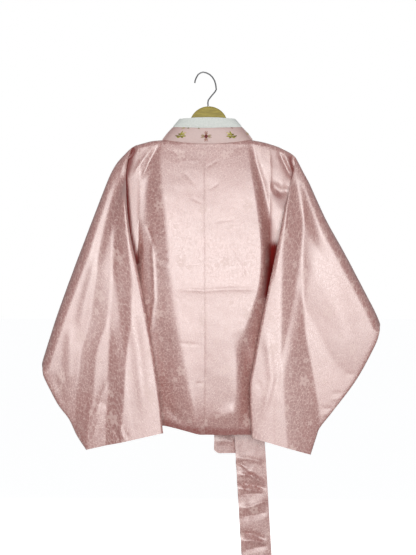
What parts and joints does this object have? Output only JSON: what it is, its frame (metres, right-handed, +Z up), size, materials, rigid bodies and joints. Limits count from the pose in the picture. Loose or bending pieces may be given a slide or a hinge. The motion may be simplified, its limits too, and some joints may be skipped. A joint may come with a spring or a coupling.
{
  "type": "hanbok jacket on a clothes hanger",
  "caption": "Pink silk wrap jacket with wide curved sleeves folded back, white collar strip and hanging front ribbons, on a wooden hanger with a wire hook.",
  "frame": {"origin": "underside of the hook's crown, where the hook rests on its rail", "axes": "+Z up; +Y out of the jacket's back, which the picture shows; +X to the wearer's left"},
  "size_m": [0.7431, 0.0936, 1.0991],
  "materials": {
    "silk": "soft sheen silk",
    "white_strip": "matt",
    "hanger_wood": "satin varnish",
    "hook_steel": "bright wire"
  },
  "bodies": {
    "root": {"back_left": "silk", "back_right": "silk", "front_left": "silk", "front_right": "silk", "gusset_outer": "silk", "gusset_inner": "silk", "sleeve_left": "silk", "sleeve_right": "silk", "collar_band": "silk", "collar_strip": "white_strip", "ribbon_long": "silk", "ribbon_short": "silk", "ribbon_knot": "silk", "ribbon_loop": "silk", "hanger_bar": "hanger_wood", "hanger_hook": "hook_steel"}
  },
  "joints": []
}
